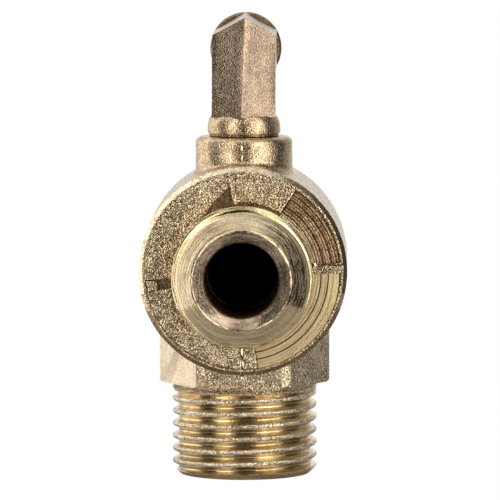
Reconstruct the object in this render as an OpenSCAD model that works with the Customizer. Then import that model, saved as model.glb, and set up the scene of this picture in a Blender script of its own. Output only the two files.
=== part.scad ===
// Quarter-turn angle valve: inlet thread below, outlet nozzle in front, lever on top.
// The origin is the centre of the inlet thread's end face, +Z up along the stem, nozzle towards -Y.

/* [Inlet end] */
// Major diameter of the inlet pipe thread, G 1/2
inlet_thread_d = 20.955; // [20.4:0.005:24]
// Length of the inlet thread, up to the hexagon
inlet_thread_len = 13.3; // [10:0.1:18]
// Chamfer at the start of the inlet thread
inlet_chamfer = 1.1; // [0.5:0.1:1.4]
// Diameter of the waterway through the inlet
inlet_bore_d = 12; // [10:0.5:13.5]

/* [Wrench hexagon] */
// Width across the flats
hex_af = 22; // [20:0.5:28]
// Diameter that the corners are turned down to
hex_corner_d = 24.6; // [22:0.2:32]
// Height of the hexagon that shows below the barrel
hex_clear = 2.1; // [1:0.1:8]
// Chamfer around the underside of the hexagon
hex_chamfer = 0.5; // [0.2:0.1:1]

/* [Barrel] */
// Wall of the barrel outside the plug thread
barrel_wall = 3.9; // [2.5:0.1:6]
// Wall between the front seat and the front face
front_wall = 3.9; // [3:0.1:8]
// Depth of the rear face behind the rear seat
rear_depth = 3.9; // [3:0.1:8]
// Height of the barrel's axis above the outlet axis
barrel_rise = 0.5; // [0:0.1:1]
// Chamfer around both rims of the barrel
rim_chamfer = 0.7; // [0.2:0.1:1.5]

/* [Neck] */
// Diameter of the neck around the stem
neck_d = 14; // [12.5:0.1:20]
// Height of the neck above the barrel
neck_height = 3.7; // [2:0.1:10]
// Rounding around the top of the neck
neck_round = 1; // [0.2:0.1:1.4]

/* [Outlet nozzle] */
// Major diameter of the outlet thread, M20
nozzle_thread_d = 19.96; // [18:0.01:24]
// Length of the nozzle in front of the barrel
nozzle_len = 9.5; // [7:0.1:16]
// Chamfer between the thread and the cone
nozzle_chamfer = 0.9; // [0.5:0.1:1.4]
// Diameter of the sharp lip at the front
nozzle_lip_d = 14; // [13:0.1:15]
// Diameter of the waterway through the nozzle
outlet_bore_d = 10.6; // [9:0.1:11.5]

/* [Ball and seats] */
// Diameter of the ball
ball_d = 18; // [17:0.1:22]
// Diameter of the ball's bent waterway
port_d = 10; // [8:0.1:10.4]
// Clearance between the ball and each seat
seat_fit = 0.04; // [0.02:0.01:0.08]
// Outside diameter of the seat rings
seat_d = 16; // [14.8:0.1:17]
// Thickness of the seat rings
seat_thick = 3.5; // [2.5:0.1:4.5]
// Distance from the ball's ends to the backs of the seats
seat_margin = 0.1; // [0.1:0.1:1]
// Cord diameter of the rubber ring behind each seat
seat_ring_cord = 1.1; // [0.8:0.1:1.3]

/* [Stem] */
// Diameter of the stem
stem_d = 7; // [6:0.1:8.4]
// Radial running clearance of the stem in the neck
stem_fit = 0.05; // [0.02:0.01:0.08]
// Width of the flange that keeps the stem in, beyond the stem
flange_step = 1.5; // [1.2:0.1:2]
// Thickness of the stem flange
flange_thick = 1.7; // [1.2:0.1:2.5]
// Thickness of the thrust washer
washer_thick = 1; // [0.6:0.1:1.5]
// Width of the tang that turns the ball
tang_width = 3.8; // [3:0.1:5]
// Width across the flats of the square that carries the lever
drive_af = 4.9; // [4:0.1:4.9]
// Height of the square inside the lever
drive_height = 8.1; // [6:0.1:9]
// Cord diameter of the stem's sealing rings
stem_ring_cord = 1.15; // [0.9:0.05:1.3]

/* [Lever] */
// Width across the flats of the hexagonal bar
bar_af = 9.1; // [8.6:0.1:11]
// Height of the round collar at the foot of the lever
collar_height = 2.8; // [2:0.1:5]
// Gap between the neck and the collar
collar_gap = 0.3; // [0.2:0.05:0.6]
// Height of the arm's axis above the collar's top
arm_height = 8.9; // [8.5:0.1:20]
// Reach of the hexagonal arm behind the stem axis
arm_reach = 15; // [12:0.5:40]
// Length of the round grip beyond the hexagon
grip_len = 19; // [12:0.5:60]
// Diameter of the grip at its far end
grip_end_d = 8.4; // [7:0.1:9.5]

/* [End plug] */
// Width across the flats of the plug's head
plug_af = 20; // [17:0.5:22]
// Thickness of the plug's head
plug_head = 4.5; // [3:0.1:8]
// Radial height of the plug thread above its nose
plug_step = 1.6; // [1.4:0.1:2.5]
// Cord diameter of the plug's sealing ring
plug_ring_cord = 1.36; // [1:0.02:1.36]

/* [Lever screw] */
// Diameter of the grub screw
screw_d = 3; // [2.5:0.1:3.5]
// Width across the flats of the grub screw's socket
screw_socket_af = 1.5; // [1.3:0.1:1.8]

/* [Hidden] */
$fn = 96;

// Joins between solids overlap by this much, and cuts run past a face by it
over = 1;
hex_ratio = 1 / cos(30);
// Turn that points a hexagon's flats along X
flats_to_x = 30;
// Step of the short outline arcs, and the widest step of a sector's outline, in degrees
arc_step = 15;
sector_step = 60;

// Barrel and chamber, measured from the ball's centre
ball_r = ball_d / 2;
chamber_gap = 0.4;
chamber_r = ball_r + chamber_gap;
plug_nose_fit = 0.1;
plug_nose_r = chamber_r - plug_nose_fit;
plug_thread_r = chamber_r + plug_step;
barrel_r = plug_thread_r + barrel_wall;
outlet_bore_r = outlet_bore_d / 2;
seat_bore_step = 0.7;
seat_bore_r = port_d / 2 + seat_bore_step;
seat_back = ball_r + seat_margin;
seat_face = seat_back - seat_thick;
barrel_front = seat_back + front_wall;
barrel_rear = seat_back + rear_depth;
nozzle_tip = barrel_front + nozzle_len;

// Heights above the inlet end face
barrel_z = inlet_thread_len + hex_clear + barrel_r;
outlet_z = barrel_z - barrel_rise;
neck_top = barrel_z + barrel_r + neck_height;

// Wider mouth of the inlet waterway under the chamber
mouth_step = 0.6;
mouth_depth = 0.9;
mouth_r = inlet_bore_d / 2 + mouth_step;
mouth_z = outlet_z - chamber_r - mouth_depth;

// Grooves behind the seats
ring_groove_wall = 0.15;
seat_ring_r = (seat_bore_r + seat_d / 2) / 2;
seat_ring_out = seat_ring_r + seat_ring_cord / 2 + ring_groove_wall;
seat_ring_in = seat_ring_r - seat_ring_cord / 2 - ring_groove_wall;

// End plug
plug_ring_fit = 0.04;
plug_shoulder_step = 0.3;
plug_shoulder = seat_back + plug_shoulder_step;
plug_step_y = plug_shoulder - plug_ring_cord - plug_ring_fit;
plug_ring_r = (plug_nose_r + plug_thread_r) / 2;
plug_nose_gap = 0.2;
plug_nose_y = seat_face + plug_nose_gap;
plug_chamfer = 0.6;
plug_chamfer_width = 1.2;

// Stem, measured up from the ball's centre
stem_r = stem_d / 2;
stem_hole_r = stem_r + stem_fit;
flange_r = stem_r + flange_step;
flange_fit = 0.1;
flange_pocket_r = flange_r + flange_fit;
flange_lift = 0.3;
flange_z = ball_r + flange_lift;
washer_z = flange_z + flange_thick;
washer_top = washer_z + washer_thick;
ball_web = 1;
slot_floor = port_d / 2 + ball_web;
slot_fit = 0.1;
tang_fit = 0.15;
tang_share = 0.4;
tang_r = min(stem_r, ball_r * tang_share);
ring_fit = 0.02;
groove_slack = 0.3;
groove_floor_r = stem_r - stem_ring_cord + ring_fit;
groove_width = stem_ring_cord + groove_slack;
ring_major_r = stem_r + ring_fit - stem_ring_cord / 2;
ring_land = 1;
lower_ring_z = washer_top + ring_land + groove_width / 2;
upper_ring_z = lower_ring_z + ring_land + groove_width;
shank_setback = 0.5;
shank_end = neck_top - outlet_z - shank_setback;

// Stop lug inside the body, and the notch in the flange that it runs in
turn_angle = 90;
lug_angle = 40;
lug_start = 90 - lug_angle / 2;
lug_slack = 0.8;
lug_fit = 0.1;
notch_step = 0.3;
notch_r = stem_r + notch_step;
lug_r = notch_r + lug_fit;

// Lever
bar_r = bar_af / 2 * hex_ratio;
collar_z = neck_top + collar_gap;
post_z = collar_z + collar_height;
arm_z = post_z + arm_height;
socket_fit = 0.05;
drive_top = collar_z + drive_height;
socket_headroom = 0.2;
socket_z = drive_top + socket_headroom;
screw_z = post_z + screw_d / 2;
screw_sunk = 0.4;
screw_len = bar_r - drive_af / 2 - screw_sunk;
screw_socket_depth = 1.2;
shoulder_len = 2;
collar_round = 0.35;

// Hexagonal prism standing on z = 0, with corners along X
module hexagon(across_flats, height, turn = 0) {
    rotate(turn)
        cylinder(r = across_flats / 2 * hex_ratio, h = height, $fn = 6);
}

// Puts a shape that is drawn up +Z onto the outlet axis, pointing to the back
module on_outlet_axis() {
    translate([0, 0, outlet_z])
        rotate([-90, 0, 0])
            children();
}

// Rubber ring with a round cord, lying flat
module cord_ring(major_r, cord_d) {
    rotate_extrude()
        translate([major_r, 0])
            circle(d = cord_d, $fn = 32);
}

// Flat ring
module ring(outer_r, inner_r, height) {
    difference() {
        cylinder(r = outer_r, h = height);
        translate([0, 0, -over])
            cylinder(r = inner_r, h = height + 2 * over);
    }
}

// Pie slice of a disc, from one angle round to another, for less than half a turn at a time
module sector(radius, height, from_angle, sweep) {
    steps = ceil(sweep / sector_step);
    step = sweep / steps;
    far = radius / cos(step / 2);
    points = [
        for (i = [0 : steps])
            far * [cos(from_angle + step * i), sin(from_angle + step * i)]
    ];
    linear_extrude(height)
        polygon(concat([[0, 0]], points));
}

// ---- Forged body ----

module barrel_casing() {
    on_outlet_axis()
        translate([0, -barrel_rise, 0])
            rotate_extrude()
                polygon([
                    [0, -barrel_front],
                    [barrel_r - rim_chamfer, -barrel_front],
                    [barrel_r, -barrel_front + rim_chamfer],
                    [barrel_r, barrel_rear - rim_chamfer],
                    [barrel_r - rim_chamfer, barrel_rear],
                    [0, barrel_rear]
                ]);
}

module nozzle_casing() {
    cone_len = (nozzle_thread_d / 2 - nozzle_chamfer) - nozzle_lip_d / 2;
    on_outlet_axis()
        rotate_extrude()
            polygon([
                [0, -barrel_front + over],
                [nozzle_thread_d / 2, -barrel_front + over],
                [nozzle_thread_d / 2, -nozzle_tip + cone_len + nozzle_chamfer],
                [nozzle_thread_d / 2 - nozzle_chamfer, -nozzle_tip + cone_len],
                [nozzle_lip_d / 2, -nozzle_tip],
                [0, -nozzle_tip]
            ]);
}

module neck_casing() {
    foot = outlet_z + washer_top;
    arc_r = neck_d / 2 - neck_round;
    arc_z = neck_top - neck_round;
    arc = [
        for (a = [0 : arc_step : 90])
            [arc_r + neck_round * cos(a), arc_z + neck_round * sin(a)]
    ];
    rotate_extrude()
        polygon(concat([[0, foot], [neck_d / 2, foot]], arc, [[0, neck_top]]));
}

module inlet_casing() {
    hex_top = barrel_z;
    hex_r = hex_corner_d / 2;
    intersection() {
        translate([0, 0, inlet_thread_len])
            hexagon(hex_af, hex_top - inlet_thread_len);
        rotate_extrude()
            polygon([
                [0, inlet_thread_len],
                [hex_r - hex_chamfer, inlet_thread_len],
                [hex_r, inlet_thread_len + hex_chamfer],
                [hex_r, hex_top],
                [0, hex_top]
            ]);
    }
    rotate_extrude()
        polygon([
            [0, 0],
            [inlet_thread_d / 2 - inlet_chamfer, 0],
            [inlet_thread_d / 2, inlet_chamfer],
            [inlet_thread_d / 2, inlet_thread_len + over],
            [0, inlet_thread_len + over]
        ]);
}

// Room for the ball, the front seat and its ring, and the plug
module chamber() {
    countersink = (nozzle_lip_d - outlet_bore_d) / 2;
    on_outlet_axis()
        rotate_extrude()
            polygon([
                [0, -nozzle_tip - over],
                [nozzle_lip_d / 2 + over, -nozzle_tip - over],
                [outlet_bore_r, -nozzle_tip + countersink],
                [outlet_bore_r, -seat_back],
                [seat_ring_in, -seat_back],
                [seat_ring_in, -seat_back - seat_ring_cord],
                [seat_ring_out, -seat_back - seat_ring_cord],
                [seat_ring_out, -seat_back],
                [seat_d / 2, -seat_back],
                [seat_d / 2, -seat_face],
                [chamber_r, -seat_face],
                [chamber_r, plug_step_y],
                [plug_thread_r, plug_step_y],
                [plug_thread_r, barrel_rear + over],
                [0, barrel_rear + over]
            ]);
}

// Hole for the stem, with the wider pocket that takes its flange from inside
module stem_passage() {
    translate([0, 0, outlet_z])
        cylinder(r = stem_hole_r, h = neck_top - outlet_z + over);
    difference() {
        translate([0, 0, outlet_z])
            cylinder(r = flange_pocket_r, h = washer_top);
        stop_lug();
    }
}

// Lug on the pocket's wall that stops the stem at both ends of its turn
module stop_lug() {
    translate([0, 0, outlet_z + flange_z])
        intersection() {
            difference() {
                cylinder(r = flange_pocket_r + over, h = flange_thick);
                translate([0, 0, -over])
                    cylinder(r = lug_r, h = flange_thick + 2 * over);
            }
            sector(flange_pocket_r + 2 * over, flange_thick, lug_start, lug_angle);
        }
}

module valve_body() {
    color("#c9a868")
        difference() {
            union() {
                barrel_casing();
                nozzle_casing();
                neck_casing();
                inlet_casing();
            }
            chamber();
            stem_passage();
            translate([0, 0, -over])
                cylinder(d = inlet_bore_d, h = outlet_z + over);
            translate([0, 0, mouth_z])
                cylinder(r = mouth_r, h = outlet_z - mouth_z);
        }
}

// ---- Ball and its seats ----

// Ball with a waterway that turns from the underside to the front
module ball() {
    slot = tang_width + 2 * slot_fit;
    color("#d8d8dc")
        translate([0, 0, outlet_z])
            difference() {
                sphere(r = ball_r);
                translate([0, 0, -ball_r - over])
                    cylinder(d = port_d, h = ball_r + over);
                rotate([90, 0, 0])
                    cylinder(d = port_d, h = ball_r + over);
                sphere(d = port_d);
                translate([-slot / 2, -ball_r - over, slot_floor])
                    cube([slot, 2 * (ball_r + over), ball_r]);
            }
}

// Seat ring behind the ball, drawn for the back and hollowed to the ball
module seat() {
    difference() {
        translate([0, 0, seat_face])
            ring(seat_d / 2, seat_bore_r, seat_thick);
        sphere(r = ball_r + seat_fit);
    }
}

module front_seat() {
    color("#f3f1ea")
        translate([0, 0, outlet_z])
            rotate([90, 0, 0])
                seat();
}

module rear_seat() {
    color("#f3f1ea")
        on_outlet_axis()
            seat();
}

module front_seat_ring() {
    color("#1d1d1f")
        on_outlet_axis()
            translate([0, 0, -seat_back - seat_ring_cord / 2])
                cord_ring(seat_ring_r, seat_ring_cord);
}

module rear_seat_ring() {
    color("#1d1d1f")
        on_outlet_axis()
            translate([0, 0, seat_back + seat_ring_cord / 2])
                cord_ring(seat_ring_r, seat_ring_cord);
}

// ---- End plug at the back ----

// Screwed plug that carries the rear seat and closes the barrel
module end_plug() {
    head_r = plug_af / 2 * hex_ratio;
    head_top = barrel_rear + plug_head;
    color("#bf9c5c")
        on_outlet_axis()
            difference() {
                union() {
                    rotate_extrude()
                        polygon([
                            [0, plug_nose_y],
                            [plug_nose_r, plug_nose_y],
                            [plug_nose_r, plug_shoulder],
                            [plug_thread_r, plug_shoulder],
                            [plug_thread_r, barrel_rear],
                            [0, barrel_rear]
                        ]);
                    intersection() {
                        translate([0, 0, barrel_rear])
                            hexagon(plug_af, plug_head, flats_to_x);
                        rotate_extrude()
                            polygon([
                                [0, barrel_rear],
                                [head_r, barrel_rear],
                                [head_r, head_top - plug_chamfer],
                                [head_r - plug_chamfer_width, head_top],
                                [0, head_top]
                            ]);
                    }
                }
                cylinder(d = seat_d, h = seat_back);
                translate([0, 0, seat_back - over])
                    ring(seat_ring_out, seat_ring_in, seat_ring_cord + over);
            }
}

module plug_ring() {
    color("#1d1d1f")
        on_outlet_axis()
            translate([0, 0, (plug_step_y + plug_shoulder) / 2])
                cord_ring(plug_ring_r, plug_ring_cord);
}

// ---- Stem and its seals ----

module stem() {
    top = drive_top - outlet_z;
    color("#c4a050")
        translate([0, 0, outlet_z]) {
            intersection() {
                translate([-tang_width / 2, -tang_r, slot_floor + tang_fit])
                    cube([tang_width, 2 * tang_r, flange_z]);
                cylinder(r = tang_r, h = washer_z);
            }
            difference() {
                translate([0, 0, flange_z])
                    cylinder(r = flange_r, h = flange_thick);
                translate([0, 0, flange_z - over])
                    difference() {
                        sector(
                            flange_r + over,
                            flange_thick + 2 * over,
                            lug_start - lug_slack,
                            lug_angle + turn_angle + 2 * lug_slack
                        );
                        cylinder(r = notch_r, h = flange_thick + 2 * over);
                    }
            }
            difference() {
                translate([0, 0, flange_z])
                    cylinder(r = stem_r, h = neck_top - outlet_z - flange_z);
                for (z = [lower_ring_z, upper_ring_z])
                    translate([0, 0, z - groove_width / 2])
                        ring(stem_r + over, groove_floor_r, groove_width);
            }
            intersection() {
                translate([-drive_af / 2, -drive_af / 2, flange_z])
                    cube([drive_af, drive_af, top - flange_z]);
                cylinder(r = groove_floor_r, h = shank_end);
            }
            intersection() {
                translate([-drive_af / 2, -drive_af / 2, washer_top])
                    cube([drive_af, drive_af, top - washer_top]);
                translate([0, 0, shank_end])
                    cylinder(r = stem_r, h = top);
            }
        }
}

module thrust_washer() {
    color("#f3f1ea")
        translate([0, 0, outlet_z + washer_z])
            ring(flange_r, stem_hole_r, washer_thick);
}

module stem_ring(height) {
    color("#1d1d1f")
        translate([0, 0, outlet_z + height])
            cord_ring(ring_major_r, stem_ring_cord);
}

module lower_stem_ring() {
    stem_ring(lower_ring_z);
}

module upper_stem_ring() {
    stem_ring(upper_ring_z);
}

// ---- Lever ----

// Half-space over the mitre between the post and the arm, or under it
module mitre_side(over_it) {
    reach = 4 * (arm_reach + arm_height + bar_af);
    translate([-reach / 2, 0, arm_z])
        rotate([-45, 0, 0])
            translate([0, -reach / 2, over_it ? 0 : -reach])
                cube(reach);
}

// Round grip that tapers from the hexagon's corners to a domed end
module grip() {
    end_r = grip_end_d / 2;
    dome_start = arm_reach + grip_len - end_r;
    dome = [
        for (a = [0 : arc_step : 90])
            [end_r * cos(a), dome_start + end_r * sin(a)]
    ];
    translate([0, 0, arm_z])
        rotate([-90, 0, 0])
            rotate_extrude()
                polygon(concat(
                    [[0, arm_reach - over], [end_r, arm_reach - over], [end_r, arm_reach]],
                    [[bar_r, arm_reach], [bar_r, arm_reach + shoulder_len]],
                    dome
                ));
}

module lever() {
    color("#c2a06c")
        difference() {
            union() {
                rotate_extrude()
                    polygon([
                        [0, collar_z],
                        [bar_r - collar_round, collar_z],
                        [bar_r, collar_z + collar_round],
                        [bar_r, post_z - collar_round],
                        [bar_r - collar_round, post_z],
                        [0, post_z]
                    ]);
                intersection() {
                    translate([0, 0, post_z - collar_round])
                        hexagon(bar_af, arm_height + 2 * bar_r, flats_to_x);
                    mitre_side(false);
                }
                intersection() {
                    translate([0, -2 * bar_r, arm_z])
                        rotate([-90, 0, 0])
                            hexagon(bar_af, arm_reach + 2 * bar_r, flats_to_x);
                    mitre_side(true);
                }
                grip();
            }
            translate([-drive_af / 2 - socket_fit, -drive_af / 2 - socket_fit, collar_z - over])
                cube([drive_af + 2 * socket_fit, drive_af + 2 * socket_fit, socket_z - collar_z + over]);
            translate([0, 0, screw_z])
                rotate([-90, 0, 0])
                    cylinder(d = screw_d, h = bar_r + over);
        }
}

module lever_screw() {
    color("#4a4a4e")
        translate([0, drive_af / 2, screw_z])
            rotate([-90, 0, 0])
                difference() {
                    cylinder(d = screw_d, h = screw_len);
                    translate([0, 0, screw_len - screw_socket_depth])
                        hexagon(screw_socket_af, screw_socket_depth + over);
                }
}

valve_body();
ball();
front_seat();
rear_seat();
front_seat_ring();
rear_seat_ring();
end_plug();
plug_ring();
stem();
thrust_washer();
lower_stem_ring();
upper_stem_ring();
lever();
lever_screw();
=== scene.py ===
"""Brass angle valve: threaded inlet below, coned outlet nozzle in front, bent lever on top.

Pieces are shaped in millimetres and finished in metres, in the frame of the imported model:
origin at the centre of the inlet's end face, +Z up the stem, nozzle towards -Y.
"""

import logging
import math
from collections.abc import Callable, Sequence
from dataclasses import dataclass, field
from enum import Enum

import bmesh
import bpy
from mathutils import Matrix, Vector, noise


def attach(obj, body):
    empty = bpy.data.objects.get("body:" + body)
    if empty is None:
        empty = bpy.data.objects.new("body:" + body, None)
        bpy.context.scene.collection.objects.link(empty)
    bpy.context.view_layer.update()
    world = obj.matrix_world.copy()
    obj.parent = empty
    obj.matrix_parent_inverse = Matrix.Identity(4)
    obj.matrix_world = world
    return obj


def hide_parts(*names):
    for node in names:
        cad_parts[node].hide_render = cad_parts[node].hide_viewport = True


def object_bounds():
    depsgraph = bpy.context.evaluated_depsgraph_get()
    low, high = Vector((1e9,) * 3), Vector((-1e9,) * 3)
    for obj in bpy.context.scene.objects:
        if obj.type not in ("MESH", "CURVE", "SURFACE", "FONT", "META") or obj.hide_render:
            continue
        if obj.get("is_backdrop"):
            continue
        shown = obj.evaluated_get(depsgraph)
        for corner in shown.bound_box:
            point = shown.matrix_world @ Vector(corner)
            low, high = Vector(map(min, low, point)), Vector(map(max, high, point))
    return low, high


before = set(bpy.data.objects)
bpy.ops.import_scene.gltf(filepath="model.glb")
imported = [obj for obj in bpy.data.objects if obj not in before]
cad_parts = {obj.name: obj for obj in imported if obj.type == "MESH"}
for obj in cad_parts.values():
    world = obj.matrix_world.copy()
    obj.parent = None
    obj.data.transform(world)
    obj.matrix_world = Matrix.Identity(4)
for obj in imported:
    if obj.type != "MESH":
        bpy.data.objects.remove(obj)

LOG = logging.getLogger("angle_valve")

MM = 0.001
TAU = math.tau
WELD = 0.0004
FULL_STEPS = 144

OUTLET_Z = 29.8
BARREL_Z = 30.3
SCREW_Z = 53.5
ARM_Z = 60.9

Outline = Sequence[tuple[float, float]]
Colour = tuple[float, float, float]
Test = Callable[[Vector], bool]


# ---- Bench: how a mesh is shaped ----


class Spindle(Enum):
    """A line that pieces are turned about: whether it lies along Y, and its height."""

    STEM = (False, 0.0)
    OUTLET = (True, OUTLET_Z)
    BARREL = (True, BARREL_Z)
    SCREW = (True, SCREW_Z)
    ARM = (True, ARM_Z)

    @property
    def level(self) -> bool:
        """Whether the line lies along Y."""
        return self.value[0]

    @property
    def centre(self) -> Vector:
        """A point on the line."""
        return Vector((0.0, 0.0, self.value[1]))

    @property
    def spin_axis(self) -> tuple[float, float, float]:
        """The direction that takes +X towards +Z or +Y as the spin goes round."""
        return (0.0, 1.0, 0.0) if self.level else (0.0, 0.0, -1.0)

    def place(self, radius: float, along: float, angle: float = 0.0) -> Vector:
        """Returns the point at a radius, a distance along the line and an angle from +X.

        Args:
            radius: distance from the line.
            along: distance along the line, Y or Z.
            angle: turn from +X, in radians.

        Returns:
            The point, in millimetres.
        """
        across, rise = radius * math.cos(angle), radius * math.sin(angle)
        if self.level:
            return self.centre + Vector((across, along, rise))
        return Vector((across, rise, along))

    def radius(self, point: Vector) -> float:
        """Returns how far a point is from the line."""
        away = point - self.centre
        return math.hypot(away.x, away.z if self.level else away.y)

    def shift(self, point: Vector, radius: float) -> Vector:
        """Moves a point straight in or out, at the same place along the line.

        Args:
            point: the point, which isn't on the line.
            radius: how far from the line it goes.

        Returns:
            Its new place.
        """
        moved = self.centre + (point - self.centre) * (radius / self.radius(point))
        if self.level:
            moved.y = point.y
        else:
            moved.z = point.z
        return moved


def clear_bench() -> None:
    """Leaves edit mode and deselects everything."""
    if bpy.context.object and bpy.context.object.mode != "OBJECT":
        bpy.ops.object.mode_set(mode="OBJECT")
    bpy.ops.object.select_all(action="DESELECT")


class Workpiece:
    """One mesh on the bench, from its first primitive to its finished form."""

    def __init__(self, name: str) -> None:
        """Starts an empty workpiece under a piece's name."""
        self.name = name
        self.thing: bpy.types.Object | None = None

    # -- starting forms --

    def _take(self) -> None:
        """Takes the primitive that was just added as this piece's object."""
        self.thing = bpy.context.object
        self.thing.name = self.name
        self.thing.data.name = self.name

    def _trace(self, points: Sequence[Vector], closed: bool) -> None:
        """Draws a line through points, vertex by vertex.

        Args:
            points: the line's points.
            closed: whether the last point joins the first.
        """
        clear_bench()
        bpy.ops.mesh.primitive_plane_add(size=0.1, location=points[0])
        self._take()
        bpy.ops.object.mode_set(mode="EDIT")
        bpy.ops.mesh.select_mode(type="VERT")
        bpy.ops.mesh.select_all(action="SELECT")
        bpy.ops.mesh.merge(type="CENTER")
        for here, there in zip(points, points[1:]):
            bpy.ops.mesh.extrude_vertices_move(TRANSFORM_OT_translate={"value": there - here})
        if closed:
            built = bmesh.from_edit_mesh(self.thing.data)
            for vertex in built.verts:
                vertex.select_set(len(vertex.link_edges) < 2)
            built.select_flush(True)
            bmesh.update_edit_mesh(self.thing.data)
            bpy.ops.mesh.edge_face_add()
        bpy.ops.object.mode_set(mode="OBJECT")
        bpy.ops.object.transform_apply(location=True, rotation=True, scale=True)

    def turn(
        self, spindle: Spindle, outline: Outline, closed: bool = True, start_deg: float = 0.0,
        sweep_deg: float = 360.0, steps: int = FULL_STEPS,
    ) -> "Workpiece":
        """Turns an outline about a spindle.

        Args:
            spindle: the line it is turned about.
            outline: pairs of radius and distance along the spindle.
            closed: whether the outline is a ring that stays off the spindle.
            start_deg: where the turn starts, from +X.
            sweep_deg: how far it goes round.
            steps: number of steps in the turn.

        Returns:
            This workpiece.
        """
        start = math.radians(start_deg)
        self._trace([spindle.place(r, h, start) for r, h in outline], closed)
        bpy.ops.object.mode_set(mode="EDIT")
        bpy.ops.mesh.select_all(action="SELECT")
        bpy.ops.mesh.spin(
            steps=steps, angle=math.radians(sweep_deg), center=spindle.centre,
            axis=spindle.spin_axis,
        )
        bpy.ops.mesh.select_all(action="SELECT")
        bpy.ops.mesh.remove_doubles(threshold=WELD)
        if sweep_deg < 360:
            bpy.ops.mesh.select_all(action="SELECT")
            bpy.ops.mesh.fill_holes(sides=0)
        return self._face_out()

    def prism(
        self, sides: int, radius: float, foot: Vector, turn_deg: float, height: float
    ) -> "Workpiece":
        """Raises a regular prism from a filled circle.

        Args:
            sides: number of sides.
            radius: radius of the corners.
            foot: centre of the lower face.
            turn_deg: turn about Z.
            height: height of the prism.

        Returns:
            This workpiece.
        """
        clear_bench()
        bpy.ops.mesh.primitive_circle_add(
            vertices=sides, radius=radius, fill_type="NGON", location=foot,
            rotation=(0, 0, math.radians(turn_deg)),
        )
        self._take()
        bpy.ops.object.transform_apply(location=True, rotation=True, scale=True)
        bpy.ops.object.mode_set(mode="EDIT")
        bpy.ops.mesh.select_mode(type="FACE")
        bpy.ops.mesh.select_all(action="SELECT")
        bpy.ops.mesh.extrude_region_move(TRANSFORM_OT_translate={"value": (0, 0, height)})
        return self._face_out()

    def bar(self, size: Vector, centre: Vector) -> "Workpiece":
        """Starts from a box.

        Args:
            size: the box's three sides.
            centre: its centre.

        Returns:
            This workpiece.
        """
        clear_bench()
        bpy.ops.mesh.primitive_cube_add(size=1.0, location=centre, scale=size)
        self._take()
        bpy.ops.object.transform_apply(location=True, rotation=True, scale=True)
        return self

    # -- edit-mode steps --

    def _face_out(self) -> "Workpiece":
        """Points every face outwards and goes back to object mode.

        Returns:
            This workpiece.
        """
        bpy.ops.mesh.select_all(action="SELECT")
        bpy.ops.mesh.normals_make_consistent(inside=False)
        bpy.ops.object.mode_set(mode="OBJECT")
        return self

    def _pick(self) -> None:
        """Selects this piece alone and makes it the active one."""
        clear_bench()
        self.thing.select_set(True)
        bpy.context.view_layer.objects.active = self.thing

    def _edit(self) -> None:
        """Opens this piece alone in edit mode with everything selected."""
        self._pick()
        bpy.ops.object.mode_set(mode="EDIT")
        bpy.ops.mesh.select_mode(type="VERT")
        bpy.ops.mesh.select_all(action="SELECT")

    def slice(self, point: Vector, normal: Vector, fill: bool = True) -> "Workpiece":
        """Cuts away what lies on the normal's side of a plane.

        Args:
            point: a point on the plane.
            normal: the plane's normal.
            fill: whether the cut is closed with a face.

        Returns:
            This workpiece.
        """
        self._edit()
        bpy.ops.mesh.bisect(
            plane_co=point, plane_no=normal, use_fill=fill, clear_outer=True, threshold=WELD
        )
        bpy.ops.object.mode_set(mode="OBJECT")
        return self

    def pull(self, normal: Vector, by: Vector) -> "Workpiece":
        """Extrudes the faces that look a certain way.

        Args:
            normal: the way that they look.
            by: how far they are pulled.

        Returns:
            This workpiece.
        """
        self._edit()
        bpy.ops.mesh.select_all(action="DESELECT")
        bpy.ops.mesh.select_mode(type="FACE")
        built = bmesh.from_edit_mesh(self.thing.data)
        for face in built.faces:
            face.select_set(face.normal.dot(normal.normalized()) > 0.99)
        bmesh.update_edit_mesh(self.thing.data)
        bpy.ops.mesh.extrude_region_move(TRANSFORM_OT_translate={"value": by})
        return self._face_out()

    def divide(self, cuts: int) -> "Workpiece":
        """Subdivides every edge with flat new faces.

        Args:
            cuts: number of cuts in each edge.

        Returns:
            This workpiece.
        """
        self._edit()
        bpy.ops.mesh.subdivide(number_cuts=cuts)
        return self._face_out()

    def move_points(self, mover: Callable[[Vector], Vector]) -> "Workpiece":
        """Moves every vertex by a rule.

        Args:
            mover: gives the new place of a vertex from its old one.

        Returns:
            This workpiece.
        """
        for vertex in self.thing.data.vertices:
            vertex.co = mover(vertex.co.copy())
        self.thing.data.update()
        return self

    # -- modifiers --

    def _apply(self, kind: str, **settings: object) -> "Workpiece":
        """Adds a modifier, sets it and applies it.

        Args:
            kind: the modifier's type.
            settings: its settings by name.

        Returns:
            This workpiece.
        """
        self._pick()
        made = self.thing.modifiers.new(kind.title(), kind)
        for key, value in settings.items():
            setattr(made, key, value)
        bpy.ops.object.modifier_apply(modifier=made.name)
        return self

    def bevel(self, width: float, over_deg: float = 35.0, segments: int = 2) -> "Workpiece":
        """Rounds every edge that is sharper than an angle.

        Args:
            width: width of the rounding.
            over_deg: the least angle that is rounded.
            segments: number of faces across the rounding.

        Returns:
            This workpiece.
        """
        return self._apply(
            "BEVEL", width=width, segments=segments, limit_method="ANGLE",
            angle_limit=math.radians(over_deg), use_clamp_overlap=True,
        )

    def cut_with(self, *tools: "Workpiece", operation: str = "DIFFERENCE") -> "Workpiece":
        """Cuts other pieces' shapes out of this one.

        Args:
            tools: the pieces that it is cut with, which are then discarded.
            operation: the modifier's operation.

        Returns:
            This workpiece.
        """
        for tool in tools:
            self._apply("BOOLEAN", operation=operation, solver="EXACT", object=tool.thing)
            tool.discard()
        return self

    def keep_inside(self, tool: "Workpiece") -> "Workpiece":
        """Keeps only what lies inside another piece, which is then discarded."""
        return self.cut_with(tool, operation="INTERSECT")

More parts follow.
